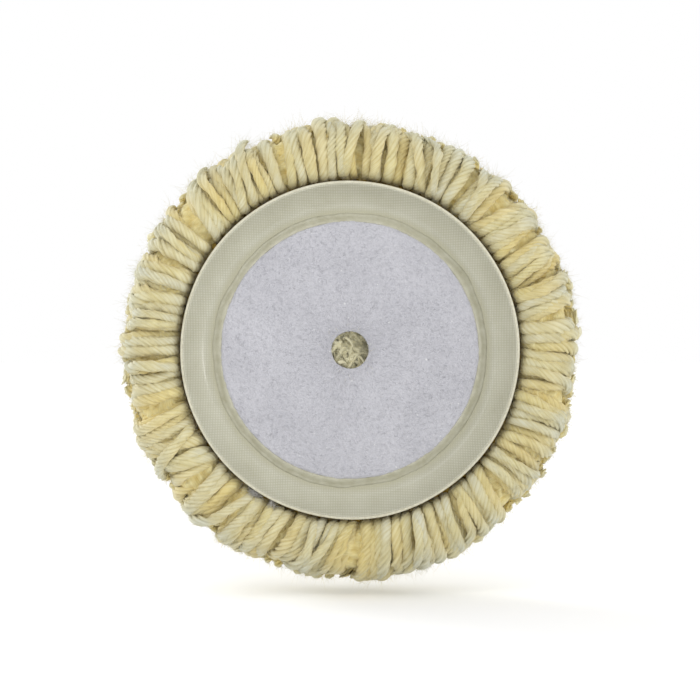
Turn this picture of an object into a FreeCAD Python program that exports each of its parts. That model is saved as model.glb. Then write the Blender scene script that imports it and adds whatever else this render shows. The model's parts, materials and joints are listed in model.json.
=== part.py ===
"""Wool polishing pad with a hook-and-loop back, for a rotary car polisher.

The pad is a disc that spins about the Y axis. +Y points to the machine and -Y to the paint.
The origin is the centre of the loop face, which the machine's hooked plate presses on.

From the machine side to the paint side the pad is a stack:
  loop facing, film of adhesive, dished cup (woven liner on a moulded core),
  bonding layer, tufting cloth, and concentric rows of twisted wool yarn.
The dish of the cup takes the machine's plate. Its wall ends in a bare cut lip.
All sizes are in millimetres and all angles in degrees.
"""

import FreeCAD, Part
import os
import Sketcher
from FreeCAD import Vector

DOCUMENT_NAME = "PolishingPad"
FACE_ROWS = 9  # rows of yarn whose tips make the flat face
FLOOR_ROWS = 12  # rows of yarn that are rooted on the flat floor
ROW_COUNT = 16  # all the rows, the last ones rooted on the wall of the cup

# alias, value, what it is
DIMENSIONS = [
    ("hole_radius", 8.1, "centring hole, through all of the backing"),
    ("loop_radius", 56.2, "loop facing"),
    ("loop_thickness", 2.0, "loop facing, with its brushed loops"),
    ("loop_chamfer", 0.5, "worn edge of the loop facing"),
    ("film_thickness", 0.5, "adhesive under the loop facing"),
    ("bead_radius", 59.2, "edge of the adhesive that was pressed out"),
    ("bead_height", 1.5, "adhesive at the edge of the loop facing"),
    ("bead_edge", 0.5, "adhesive at its own edge"),
    ("floor_radius", 62.6, "flat floor of the dish"),
    ("corner_radius", 3.0, "bend from the floor to the wall"),
    ("corner_sweep", 40.0, "angle that the bend turns through"),
    ("wall_radius", 25.5, "hollow curve of the wall"),
    ("rim_angle", 66.0, "slope of the wall at the lip"),
    ("liner_thickness", 0.6, "woven liner"),
    ("core_thickness", 1.3, "moulded core"),
    ("bond_thickness", 0.6, "bonding layer"),
    ("bond_angle", 61.5, "where the bonding layer ends on the wall"),
    ("cloth_thickness", 1.2, "tufting cloth"),
    ("cloth_angle", 60.0, "where the tufting cloth ends on the wall"),
    ("last_row_angle", 58.0, "where the last row of yarn ends on the wall"),
    ("pile_bore", 9.3, "bare ring round the hole, at the roots"),
    ("pile_depth", 31.8, "length of the yarn on the face"),
    ("dimple_radius", 1.5, "opening between the tips over the hole"),
    ("dimple_depth", 1.5, "how far the tips round the hole stand back"),
    ("face_radius", 70.0, "flat part of the face"),
    ("shoulder_radius", 30.0, "round shoulder of the pile"),
    ("shoulder_sweep", 100.0, "angle that the shoulder turns through"),
]


def make_sheet(doc):
    """The spreadsheet of driving dimensions, one alias a row."""
    sheet = doc.addObject("Spreadsheet::Sheet", "Dims")
    for row, (alias, value, meaning) in enumerate(DIMENSIONS, start=1):
        sheet.set(f"A{row}", alias)
        sheet.set(f"B{row}", str(value))
        sheet.set(f"C{row}", meaning)
        sheet.setAlias(f"B{row}", alias)
    doc.recompute()
    return sheet


def plane_of(body, role):
    """One of a body's own origin planes, by its role."""
    return next(f for f in body.Origin.OriginFeatures if f.Role == role)


class Outline:
    """A closed profile in the XY plane, X being the distance from the axis.

    Points are pairs of expressions in the sheet's aliases. Each corner is held by two
    named constraints that are bound to its expressions, and each arc by its radius too.
    """

    def __init__(self, body, name):
        self.sketch = body.newObject("Sketcher::SketchObject", name)
        self.sketch.AttachmentSupport = [(plane_of(body, "XY_Plane"), "")]
        self.sketch.MapMode = "FlatFace"
        self.corners = []
        self.ends = []  # the start and end of each edge, as (geometry, vertex)

    def amount(self, expression):
        """What an expression comes to now."""
        return float(self.sketch.evalExpression(expression))

    def place(self, point):
        return Vector(self.amount(point[0]), self.amount(point[1]), 0)

    def bind(self, constraint, name, expression):
        """Adds a named constraint and ties it to an expression."""
        number = self.sketch.addConstraint(constraint)
        self.sketch.renameConstraint(number, name)
        self.sketch.setExpression(f"Constraints.{name}", expression)

    def line(self, start, end):
        segment = Part.LineSegment(self.place(start), self.place(end))
        index = self.sketch.addGeometry(segment, False)
        self.corners.append(start)
        self.ends.append(((index, 1), (index, 2)))
        return self

    def arc(self, start, end, curve, out):
        """An arc that is concentric with a curve of the recess, at a distance outside it."""
        centre, recess_radius = curve
        radius = f"{recess_radius} + {out}"
        middle = self.place(centre)
        a, b = self.place(start) - middle, self.place(end) - middle
        turns_left = a.cross(b).z > 0
        first, second = (a, b) if turns_left else (b, a)
        circle = Part.Circle(middle, Vector(0, 0, 1), self.amount(radius))
        span = (circle.parameter(middle + first), circle.parameter(middle + second))
        index = self.sketch.addGeometry(Part.ArcOfCircle(circle, *span), False)
        begin, finish = (1, 2) if turns_left else (2, 1)
        self.corners.append(start)
        self.ends.append(((index, begin), (index, finish)))
        self.bind(Sketcher.Constraint("Radius", index, self.amount(radius)), f"radius{index}", radius)
        return self

    def close(self):
        """Joins the edges end to end and holds every corner."""
        for i, (begin, _) in enumerate(self.ends):
            before = self.ends[i - 1][1]
            self.sketch.addConstraint(Sketcher.Constraint("Coincident", *before, *begin))
        for i, (begin, _) in enumerate(self.ends):
            x, y = self.corners[i]
            for kind, expression in (("DistanceX", x), ("DistanceY", y)):
                held = Sketcher.Constraint(kind, -1, 1, *begin, self.amount(expression))
                self.bind(held, f"corner{i}_{kind[-1].lower()}", expression)
        return self.sketch

    def through(self, points):
        """Straight edges from each point to the next, and back to the first."""
        for start, end in zip(points, points[1:] + points[:1]):
            self.line(start, end)
        return self.close()


def turned(body, sketch):
    """Turns a profile right round the Y axis."""
    feature = body.newObject("PartDesign::Revolution", "Turned")
    feature.Profile = sketch
    feature.ReferenceAxis = (sketch, ["V_Axis"])
    feature.Angle = 360.0
    body.Tip = feature
    return feature


def new_body(doc, name):
    body = doc.addObject("PartDesign::Body", name)
    body.Label = name
    return body


# The recess surface and every layer outside it are the same curve at a growing distance.

RECESS = "(Dims.loop_thickness + Dims.film_thickness)"
BEND_CENTRE = ("Dims.floor_radius", f"Dims.corner_radius - {RECESS}")
WALL_CENTRE = (
    "Dims.floor_radius - (Dims.wall_radius - Dims.corner_radius) * sin(Dims.corner_sweep)",
    f"Dims.corner_radius - {RECESS}"
    " + (Dims.wall_radius - Dims.corner_radius) * cos(Dims.corner_sweep)",
)
BEND = (BEND_CENTRE, "Dims.corner_radius")
WALL = (WALL_CENTRE, "Dims.wall_radius")
LINER = "Dims.liner_thickness"
CORE = f"{LINER} + Dims.core_thickness"
BOND = f"{CORE} + Dims.bond_thickness"
CLOTH = f"{BOND} + Dims.cloth_thickness"


def on_floor(radius, out):
    """The point of the floor at that radius, out being how far the layer is from the recess."""
    return (radius, f"-{RECESS} - ({out})")


def on_bend(out):
    """The point where the bend meets the wall."""
    reach = f"(Dims.corner_radius + {out})"
    return (
        f"{BEND_CENTRE[0]} + {reach} * sin(Dims.corner_sweep)",
        f"{BEND_CENTRE[1]} - {reach} * cos(Dims.corner_sweep)",
    )


def on_wall(out, angle):
    """The point of the wall where it slopes by that angle."""
    reach = f"(Dims.wall_radius + {out})"
    return (
        f"{WALL_CENTRE[0]} + {reach} * sin({angle})",
        f"{WALL_CENTRE[1]} - {reach} * cos({angle})",
    )


def make_layer(doc, name, inside, outside, end_angle):
    """A dished layer that runs from the hole to an angle on the wall."""
    body = new_body(doc, name)
    hole_in, floor_in, bend_in, lip_in = (
        on_floor("Dims.hole_radius", inside),
        on_floor("Dims.floor_radius", inside),
        on_bend(inside),
        on_wall(inside, end_angle),
    )
    hole_out, floor_out, bend_out, lip_out = (
        on_floor("Dims.hole_radius", outside),
        on_floor("Dims.floor_radius", outside),
        on_bend(outside),
        on_wall(outside, end_angle),
    )
    outline = Outline(body, f"{name}_profile")
    outline.line(hole_in, floor_in)
    outline.arc(floor_in, bend_in, BEND, inside)
    outline.arc(bend_in, lip_in, WALL, inside)
    outline.line(lip_in, lip_out)
    outline.arc(lip_out, bend_out, WALL, outside)
    outline.arc(bend_out, floor_out, BEND, outside)
    outline.line(floor_out, hole_out)
    outline.line(hole_out, hole_in)
    turned(body, outline.close())
    return body


def make_loop_facing(doc):
    """A disc of brushed loop fabric with the centring hole punched through it."""
    body = new_body(doc, "loop_facing")
    disc = body.newObject("Sketcher::SketchObject", "loop_disc")
    disc.AttachmentSupport = [(plane_of(body, "XZ_Plane"), "")]
    disc.MapMode = "FlatFace"
    up = Vector(0, 0, 1)
    for name, alias in (("rim", "loop_radius"), ("hole", "hole_radius")):
        radius = float(disc.evalExpression(f"Dims.{alias}"))
        index = disc.addGeometry(Part.Circle(Vector(), up, radius), False)
        disc.addConstraint(Sketcher.Constraint("Coincident", index, 3, -1, 1))
        number = disc.addConstraint(Sketcher.Constraint("Radius", index, radius))
        disc.renameConstraint(number, name)
        disc.setExpression(f"Constraints.{name}", f"Dims.{alias}")
    pad = body.newObject("PartDesign::Pad", "Disc")
    pad.Profile = disc
    pad.setExpression("Length", "Dims.loop_thickness")
    doc.recompute()
    if pad.Shape.BoundBox.YMax > 1e-6:  # the disc lies below the loop face
        pad.Reversed = True
        doc.recompute()
    outer = max(
        (i for i, e in enumerate(pad.Shape.Edges, start=1) if abs(e.BoundBox.YMax) < 1e-6),
        key=lambda i: pad.Shape.Edges[i - 1].Length,
    )
    worn = body.newObject("PartDesign::Chamfer", "WornEdge")
    worn.Base = (pad, [f"Edge{outer}"])
    worn.setExpression("Size", "Dims.loop_chamfer")
    body.Tip = worn
    return body


def make_adhesive(doc):
    """The film under the loop facing, with the bead that was pressed out round its edge."""
    body = new_body(doc, "facing_adhesive")
    floor = f"-{RECESS}"
    corners = [
        ("Dims.hole_radius", floor),
        ("Dims.bead_radius", floor),
        ("Dims.bead_radius", f"{floor} + Dims.bead_edge"),
        ("Dims.loop_radius", f"{floor} + Dims.bead_height"),
        ("Dims.loop_radius", "-Dims.loop_thickness"),
        ("Dims.hole_radius", "-Dims.loop_thickness"),
    ]
    turned(body, Outline(body, "facing_adhesive_profile").through(corners))
    return body


def root_of(boundary):
    """Where the boundary between two rows of yarn leaves the tufting cloth."""
    if boundary <= FLOOR_ROWS:
        share = f"{boundary} / {FLOOR_ROWS}"
        run = "(Dims.floor_radius - Dims.pile_bore)"
        return on_floor(f"Dims.pile_bore + {run} * {share}", CLOTH)
    if boundary == FLOOR_ROWS + 1:
        return on_bend(CLOTH)
    share = f"{boundary - FLOOR_ROWS - 1} / {ROW_COUNT - FLOOR_ROWS - 1}"
    turn = f"Dims.corner_sweep + (Dims.last_row_angle - Dims.corner_sweep) * {share}"
    return on_wall(CLOTH, f"({turn})")


def tip_of(boundary):
    """Where the boundary between two rows of yarn meets the face or the shoulder."""
    depth = f"({RECESS} + {CLOTH} + Dims.pile_depth)"
    if boundary == 0:
        return ("Dims.dimple_radius", f"Dims.dimple_depth - {depth}")
    if boundary <= FACE_ROWS:
        share = f"{boundary} / {FACE_ROWS}"
        run = "(Dims.face_radius - Dims.dimple_radius)"
        return (f"Dims.dimple_radius + {run} * {share}", f"-{depth}")
    share = f"{boundary - FACE_ROWS} / {ROW_COUNT - FACE_ROWS}"
    turn = f"(Dims.shoulder_sweep * {share})"
    return (
        f"Dims.face_radius + Dims.shoulder_radius * sin({turn})",
        f"Dims.shoulder_radius - {depth} - Dims.shoulder_radius * cos({turn})",
    )


def make_wool_row(doc, number):
    """One concentric row of tufts, from the tufting cloth to the tips."""
    name = f"wool_row_{number:02d}"
    body = new_body(doc, name)
    corners = [root_of(number - 1), root_of(number), tip_of(number), tip_of(number - 1)]
    outline = Outline(body, f"{name}_profile")
    if number <= FLOOR_ROWS:
        turned(body, outline.through(corners))
        return body
    curve = BEND if number == FLOOR_ROWS + 1 else WALL
    outline.arc(corners[0], corners[1], curve, CLOTH)
    outline.line(corners[1], corners[2])
    outline.line(corners[2], corners[3])
    outline.line(corners[3], corners[0])
    turned(body, outline.close())
    return body


def check(doc, pieces):
    """Stops if any object failed, or if a piece isn't one valid solid or more."""
    for item in doc.Objects:
        if {"Invalid", "Error"} & set(item.State):
            raise RuntimeError(f"{item.Label} failed: {item.State}")
    for piece in pieces:
        shape = piece.Shape
        if shape.isNull() or not shape.isValid() or not shape.Solids:
            raise RuntimeError(f"{piece.Label} has no valid solid")


def main():
    doc = FreeCAD.newDocument(DOCUMENT_NAME)
    make_sheet(doc)
    pieces = [
        make_loop_facing(doc),
        make_adhesive(doc),
        make_layer(doc, "cup_liner", "0", LINER, "Dims.rim_angle"),
        make_layer(doc, "cup_core", LINER, CORE, "Dims.rim_angle"),
        make_layer(doc, "bonding_layer", CORE, BOND, "Dims.bond_angle"),
        make_layer(doc, "tufting_cloth", BOND, CLOTH, "Dims.cloth_angle"),
    ]
    pieces += [make_wool_row(doc, number) for number in range(1, ROW_COUNT + 1)]
    doc.recompute()
    check(doc, pieces)
    os.makedirs("parts", exist_ok=True)
    for piece in pieces:
        piece.Shape.exportStep(f"parts/{piece.Label}.step")
        box = piece.Shape.optimalBoundingBox(False)
        print(
            f"{piece.Label}: {piece.Shape.Volume / 1000:.2f} cm3,"
            f" radius {box.XMax:.2f}, y {box.YMin:.2f} to {box.YMax:.2f}"
        )


main()
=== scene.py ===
"""Looks of a wool polishing pad with a hook-and-loop back.

The pad's axis is Y: +Y is the machine side (loop facing, dish, lip) and -Y is the wool face.
Lengths are in metres. Points of a round piece are built as (radius, depth), the depth being
the place along Y, and are turned about the axis by an angle.
"""
import json
import math

import bpy
import numpy as np
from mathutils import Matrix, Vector


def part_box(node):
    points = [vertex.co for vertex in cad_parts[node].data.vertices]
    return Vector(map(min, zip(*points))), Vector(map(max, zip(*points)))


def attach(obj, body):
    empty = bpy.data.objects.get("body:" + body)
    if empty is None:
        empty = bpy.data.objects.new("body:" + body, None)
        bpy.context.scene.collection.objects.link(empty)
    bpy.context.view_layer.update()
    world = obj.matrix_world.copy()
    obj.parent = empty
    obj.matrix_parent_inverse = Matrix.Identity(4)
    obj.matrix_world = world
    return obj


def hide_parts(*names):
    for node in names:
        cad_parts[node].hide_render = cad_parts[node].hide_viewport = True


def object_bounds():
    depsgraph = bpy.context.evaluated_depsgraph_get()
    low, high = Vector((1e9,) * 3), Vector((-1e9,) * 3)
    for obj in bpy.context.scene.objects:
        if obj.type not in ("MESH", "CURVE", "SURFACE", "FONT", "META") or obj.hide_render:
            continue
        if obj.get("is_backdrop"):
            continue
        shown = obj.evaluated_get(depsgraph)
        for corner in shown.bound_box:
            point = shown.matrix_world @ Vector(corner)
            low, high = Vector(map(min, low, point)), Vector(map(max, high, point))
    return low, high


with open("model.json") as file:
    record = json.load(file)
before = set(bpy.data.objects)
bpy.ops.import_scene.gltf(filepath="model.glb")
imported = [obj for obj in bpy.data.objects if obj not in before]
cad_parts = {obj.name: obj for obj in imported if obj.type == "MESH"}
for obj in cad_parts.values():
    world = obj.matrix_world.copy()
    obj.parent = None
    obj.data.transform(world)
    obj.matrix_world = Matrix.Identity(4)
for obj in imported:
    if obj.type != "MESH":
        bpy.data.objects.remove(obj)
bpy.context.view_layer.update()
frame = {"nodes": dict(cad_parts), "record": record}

MM = 0.001
TAU = 2 * math.pi
GOLDEN_ANGLE = math.pi * (3 - math.sqrt(5))
ROW_NAMES = sorted(n for n in frame["nodes"] if n.startswith("wool_row_"))
rng = np.random.default_rng(20)

# ---------------------------------------------------------------- sizes, from the frame


def node_radius(node):
    """The outside radius of a node that is round about the axis."""
    low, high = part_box(node)
    return (high.z - low.z) / 2


LOOP_RADIUS = node_radius("loop_facing")
LOOP_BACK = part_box("loop_facing")[0].y
BEAD_RADIUS = node_radius("facing_adhesive")
RECESS_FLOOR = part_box("facing_adhesive")[0].y
LIP_RADIUS = node_radius("cup_core")
MOUNTS = {m["name"]: m for m in frame["record"]["mounts"]}
HOLE_RADIUS = MOUNTS["centring_hole"]["dims"]["r_mm"] * MM
LINER = RECESS_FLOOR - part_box("cup_liner")[0].y
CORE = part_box("cup_liner")[0].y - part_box("cup_core")[0].y
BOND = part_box("cup_core")[0].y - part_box("bonding_layer")[0].y
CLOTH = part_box("bonding_layer")[0].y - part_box("tufting_cloth")[0].y
FACE_DEPTH = min(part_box(n)[0].y for n in ROW_NAMES)
PAD_RADIUS = max(node_radius(n) for n in ROW_NAMES)

# The meridian of the recess: a flat floor, a tight bend and a hollow wall.
FLOOR_RADIUS = 62.6 * MM
BEND_RADIUS = 3.0 * MM
WALL_RADIUS = 25.5 * MM
BEND_SWEEP = math.radians(40)
LIP_ANGLE = math.radians(66)
BOND_ANGLE = math.radians(61.5)
CLOTH_ANGLE = math.radians(60)
LAST_ROW_ANGLE = math.radians(58)
CLOTH_OUT = LINER + CORE + BOND + CLOTH
BEND_CENTRE = np.array([FLOOR_RADIUS, RECESS_FLOOR + BEND_RADIUS])
WALL_CENTRE = BEND_CENTRE + (WALL_RADIUS - BEND_RADIUS) * np.array(
    [-math.sin(BEND_SWEEP), math.cos(BEND_SWEEP)]
)

# The outline of the pile: a flat face, then a round shoulder.
FACE_RADIUS = 70 * MM
SHOULDER_RADIUS = PAD_RADIUS - FACE_RADIUS
SHOULDER_SWEEP = math.radians(100)
PILE_LENGTH = FACE_RADIUS + SHOULDER_RADIUS * SHOULDER_SWEEP
PILE_BORE = 9.3 * MM
FACE_ROWS = 9
FLOOR_ROWS = 12
ROW_COUNT = len(ROW_NAMES)


def wall_point(angle, out):
    """A point of the recess wall, or of a layer at a distance outside it."""
    reach = WALL_RADIUS + out
    return WALL_CENTRE + reach * np.array([math.sin(angle), -math.cos(angle)])


# ---------------------------------------------------------------- making meshes


def unit(v):
    """Vectors of length 1 along v."""
    return v / (np.linalg.norm(v, axis=-1, keepdims=True) + 1e-12)


def to_space(radius, depth, angle):
    """Points, or ways, given as radius and depth, turned about the pad's axis."""
    return np.stack([radius * np.cos(angle), depth, radius * np.sin(angle)], -1)


def turned(flat, angle):
    """The same from one array of (radius, depth)."""
    return to_space(flat[:, 0], flat[:, 1], angle)


def sideways(turn):
    """The way round the axis at each turn."""
    return np.stack([-np.sin(turn), np.zeros(len(turn)), np.cos(turn)], -1)


def circle(count):
    """Angles in even steps round a circle."""
    return np.arange(count) / count * TAU


def add_object(name, data):
    """An object in the scene with this data."""
    thing = bpy.data.objects.new(name, data)
    bpy.context.scene.collection.objects.link(thing)
    return thing


def smooth_mesh(name, points, faces, attributes=()):
    """A smooth mesh object. faces is a list of arrays, each of faces with as many corners."""
    mesh = bpy.data.meshes.new(name)
    mesh.vertices.add(len(points))
    mesh.vertices.foreach_set("co", np.ascontiguousarray(points, np.float32).ravel())
    corners = np.concatenate([f.ravel() for f in faces]).astype(np.int32)
    counts = np.concatenate([np.full(len(f), f.shape[1]) for f in faces])
    starts = np.concatenate([[0], np.cumsum(counts)[:-1]]).astype(np.int32)
    mesh.loops.add(len(corners))
    mesh.loops.foreach_set("vertex_index", corners)
    mesh.polygons.add(len(counts))
    mesh.polygons.foreach_set("loop_start", starts)
    for label, kind, values in attributes:
        field = "color" if kind == "FLOAT_COLOR" else "vector"
        layer = mesh.attributes.new(label, kind, "POINT")
        layer.data.foreach_set(field, np.ascontiguousarray(values, np.float32).ravel())
    mesh.update(calc_edges=True)
    mesh.polygons.foreach_set("use_smooth", np.ones(len(counts), bool))
    mesh.validate()
    return add_object(name, mesh)


def ring_faces(rows, columns, closed_rows=False):
    """Quads of a grid that closes round its columns, and round its rows if asked."""
    r = np.arange(rows if closed_rows else rows - 1)[:, None]
    c = np.arange(columns)
    a = r * columns + c
    b = r * columns + (c + 1) % columns
    up = ((r + 1) % rows) * columns
    return np.stack([a, b, up + (c + 1) % columns, up + c], -1).reshape(-1, 4)


def repeated(faces, count, block):
    """The faces of one yarn or fibre, repeated for count of them with block points each."""
    first = (np.arange(count) * block)[:, None, None]
    return [(first + f[None]).reshape(-1, f.shape[1]) for f in faces]


def smooth_noise(count, waves, strength, generator):
    """A seeded closed curve of noise: a few sine waves round the circle."""
    total = np.zeros(count)
    for wave in waves:
        total += generator.normal() * np.sin(wave * circle(count) + generator.uniform(0, TAU))
    return strength * total / math.sqrt(len(waves))


def lathe(name, radius, depth, attributes=()):
    """A closed outline turned about the axis, from its (points, turns) radii and depths."""
    rows, columns = radius.shape
    points = to_space(radius, depth, circle(columns))
    faces = ring_faces(rows, columns, closed_rows=True)
    return smooth_mesh(name, points.reshape(-1, 3), [faces], attributes)


def finish_piece(piece, material, slot, *nodes):
    """Gives a piece its material and its body, and hides the nodes that it stands in for."""
    piece.data.materials.append(material)
    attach(piece, "root")
    if nodes:
        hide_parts(*nodes)
    return piece


def finish_wool(piece, material, *nodes):
    """The same for a piece of wool."""
    return finish_piece(piece, material, "twisted_wool", *nodes)


# ---------------------------------------------------------------- materials


class Nodes:
    """A short way to write a material's node tree.

    A socket's name is written with _ for its spaces. An input is an output to link or a value.
    """

    def __init__(self, name, **sockets):
        self.material = bpy.data.materials.new(name)
        self.material.use_nodes = True
        self.tree = self.material.node_tree
        self.shader = self.tree.nodes["Principled BSDF"]
        for socket, value in sockets.items():
            self.shader.inputs[socket.replace("_", " ")].default_value = value

    def add(self, kind, inputs=None, **settings):
        node = self.tree.nodes.new(kind)
        for key, value in settings.items():
            setattr(node, key, value)
        for key, value in (inputs or {}).items():
            if hasattr(value, "is_output"):
                self.tree.links.new(value, node.inputs[key])
            else:
                node.inputs[key].default_value = value
        return node

    def link(self, output, socket):
        self.tree.links.new(output, self.shader.inputs[socket])

    def maths(self, operation, a, b, clamp=False):
        node = self.add("ShaderNodeMath", {0: a, 1: b}, operation=operation, use_clamp=clamp)
        return node.outputs[0]

    def mix(self, factor, a, b, blend="MIX"):
        inputs = {0: factor, 6: a, 7: b}
        return self.add("ShaderNodeMix", inputs, data_type="RGBA", blend_type=blend).outputs[2]

    def noise(self, vector, scale, detail, roughness):
        inputs = {"Vector": vector, "Scale": scale, "Detail": detail, "Roughness": roughness}
        return self.add("ShaderNodeTexNoise", inputs).outputs["Fac"]

    def ramp(self, value, *stops):
        """A colour ramp. Each stop is (place, colour)."""
        node = self.add("ShaderNodeValToRGB", {"Fac": value})
        band = node.color_ramp
        while len(band.elements) < len(stops):
            band.elements.new(0.5)
        for element, (place, colour) in zip(band.elements, stops):
            element.position = place
            element.color = (*colour, 1.0)
        return node.outputs["Color"]

    def bump(self, height, strength, distance):
        inputs = {"Height": height, "Strength": strength, "Distance": distance}
        return self.add("ShaderNodeBump", inputs).outputs["Normal"]

    def coordinates(self):
        return self.add("ShaderNodeTexCoord").outputs["Object"]

    def scaled(self, vector, scale):
        return self.add("ShaderNodeMapping", {"Vector": vector, "Scale": scale}).outputs[0]

    def weave(self, vector, scale, distortion, crossing):
        """Two sets of threads, along X and along Z, joined by a maths operation."""
        inputs = {"Vector": vector, "Scale": scale, "Distortion": distortion}
        waves = [self.add("ShaderNodeTexWave", inputs, bands_direction=d) for d in "XZ"]
        return self.maths(crossing, *[wave.outputs["Fac"] for wave in waves])


def grey(value):
    """A colour without hue."""
    return (value, value, value)


def mottled_material(name, scale, detail, low, high, bump, **sockets):
    """A material whose colour and bump follow one fine noise.

    low and high are (noise, colour) where the colours begin and end; bump is (strength,
    distance).
    """
    n = Nodes(name, **sockets)
    mottle = n.noise(n.coordinates(), scale, detail, 0.6)
    n.link(n.ramp(mottle, low, high), "Base Color")
    n.link(n.bump(mottle, *bump), "Normal")
    return n.material


def wool_material(shade_tone=1.0, crest=(0.635, 0.61, 0.43)):
    """Twisted wool yarn with fine fibres: cream where it lies open, and golden to dark brown in
    the crevices, which is painted shade.

    The point attribute "wool" holds how open the place is (painted shade), the yarn's own tint,
    whether it is on a ply's crown (painted shade in the grooves), and in its alpha how little
    the end is painted pale (a painted wash of light); "grain" runs round and along the yarn.
    """
    n = Nodes(
        "twisted_wool", Roughness=0.9, Sheen_Weight=0.4, Sheen_Roughness=0.5,
        Sheen_Tint=(1.0, 0.97, 0.86, 1.0), Specular_IOR_Level=0.15,
    )
    wool = n.add("ShaderNodeAttribute", attribute_name="wool")
    part = n.add("ShaderNodeSeparateColor", {"Color": wool.outputs["Color"]})
    openness, strand, crown = part.outputs[0], part.outputs[1], part.outputs[2]
    grain = n.add("ShaderNodeAttribute", attribute_name="grain").outputs["Vector"]
    # Painted shade: the colour falls from cream through golden to dark brown as the place lies
    # deeper in the pile.
    base = n.ramp(
        openness,
        (0.0, (0.36, 0.24, 0.045)),
        (0.10, (0.74, 0.585, 0.18)),
        (0.42, (0.745, 0.62, 0.26)),
        (0.75, (0.69, 0.62, 0.325)),
        (1.0, crest),
    )
    pale = n.maths("MULTIPLY", n.maths("MULTIPLY", strand, openness), 0.4)
    tinted = n.mix(pale, base, (0.66, 0.65, 0.55, 1))
    # A painted wash of light: towards the fringe's ends the colour is mixed to a pale, greyer
    # colour.
    washed = n.maths("MULTIPLY", n.maths("SUBTRACT", 1.0, wool.outputs["Alpha"]), openness)
    tinted = n.mix(washed, tinted, (0.59, 0.61, 0.52, 1))
    fibre = n.noise(n.scaled(grain, (20.0, 0.9, 1.0)), 1.0, 4.0, 0.6)
    strip = n.noise(n.scaled(grain, (5.0, 0.45, 1.0)), 1.0, 2.0, 0.5)
    fine = n.ramp(fibre, (0.3, grey(0.92)), (0.7, grey(1.04)))
    broad = n.ramp(strip, (0.33, (0.90, 0.86, 0.74)), (0.62, grey(1.03)))
    streak = n.mix(1.0, fine, broad, "MULTIPLY")
    streaked = n.mix(1.0, tinted, streak, "MULTIPLY")
    # Painted shade: darker in the grooves between the plies; shade_tone darkens the whole colour
    # for a darker copy of the wool.
    groove_shade = n.ramp(crown, (0.0, (0.94 * shade_tone, 0.90 * shade_tone, 0.80 * shade_tone)), (0.6, grey(shade_tone)))
    n.link(n.mix(1.0, streaked, groove_shade, "MULTIPLY"), "Base Color")
    n.link(n.bump(fibre, 0.4, 0.0005), "Normal")
    return n.material


def loop_material():
    """Brushed loop fabric: lilac grey, matt, with a fine random nap and a little lint."""
    n = Nodes(
        "brushed_loop", Roughness=0.95, Sheen_Weight=0.2, Sheen_Roughness=0.5,
        Specular_IOR_Level=0.15,
    )
    place = n.coordinates()
    nap = n.noise(place, 1500.0, 4.0, 0.65)
    cloud = n.noise(place, 42.0, 3.0, 0.5)
    lint = n.noise(place, 620.0, 1.0, 0.3)
    base = n.ramp(nap, (0.30, (0.43, 0.43, 0.46)), (0.72, (0.54, 0.535, 0.57)))
    shade = n.ramp(cloud, (0.3, (0.93, 0.93, 0.935)), (0.7, grey(1.04)))
    soiled = n.mix(1.0, base, shade, "MULTIPLY")
    speck = n.ramp(lint, (0.74, grey(0.0)), (0.78, grey(0.6)))
    n.link(n.mix(speck, soiled, (0.72, 0.72, 0.72, 1)), "Base Color")
    n.link(n.bump(nap, 0.7, 0.0006), "Normal")
    return n.material


# The liner has a thread a millimetre. Adhesive stains it from the bead's edge outwards.
LINER_WEAVE = 300.0
STAIN_START, STAIN_WIDTH = 1.4 * MM, 2.2 * MM


def liner_material():
    """Woven cloth under a resin coat: cream, a fine grid of threads, a soft gloss."""
    n = Nodes("coated_weave", Roughness=0.42, Coat_Weight=0.4, Coat_Roughness=0.2)
    place = n.coordinates()
    weave = n.weave(place, LINER_WEAVE, 0.8, "MULTIPLY")
    blotch = n.noise(place, 60.0, 4.0, 0.6)
    base = n.ramp(weave, (0.0, (0.405, 0.395, 0.305)), (0.55, (0.485, 0.48, 0.40)))
    shade = n.ramp(blotch, (0.3, (0.92, 0.91, 0.87)), (0.7, grey(1.05)))
    clean = n.mix(1.0, base, shade, "MULTIPLY")
    radius = n.add("ShaderNodeVectorMath", {0: n.scaled(place, (1, 0, 1))}, operation="LENGTH")
    past = n.maths("SUBTRACT", radius.outputs["Value"], BEAD_RADIUS + STAIN_START)
    fall = n.maths("DIVIDE", past, STAIN_WIDTH, clamp=True)
    stain = n.maths("SUBTRACT", 1.0, fall, clamp=True)
    n.link(n.mix(n.maths("MULTIPLY", stain, 0.75), clean, (0.38, 0.365, 0.25, 1)), "Base Color")
    n.link(n.ramp(blotch, (0.35, grey(0.30)), (0.7, grey(0.55))), "Roughness")
    n.link(n.bump(weave, 0.25, 0.0003), "Normal")
    return n.material


def core_material():
    """Moulded core: a cut edge of cream resin with trapped threads."""
    low, high = (0.35, (0.50, 0.48, 0.37)), (0.65, (0.62, 0.60, 0.48))
    return mottled_material("moulded_core", 900.0, 3.0, low, high, (0.5, 0.0004), Roughness=0.6)


def adhesive_material():
    """Cured adhesive: straw-coloured, slightly cloudy, satin."""
    low, high = (0.3, (0.37, 0.355, 0.255)), (0.7, (0.46, 0.45, 0.355))
    return mottled_material(
        "clear_adhesive", 260.0, 4.0, low, high, (0.4, 0.0005),
        Roughness=0.4, Coat_Weight=0.2, Coat_Roughness=0.25,
    )


def latex_material():
    """Latex bonding layer: yellowed and lumpy."""
    low, high = (0.3, (0.26, 0.20, 0.09)), (0.7, (0.44, 0.37, 0.20))
    return mottled_material("bonding_latex", 420.0, 3.0, low, high, (0.6, 0.0006), Roughness=0.7)


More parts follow.
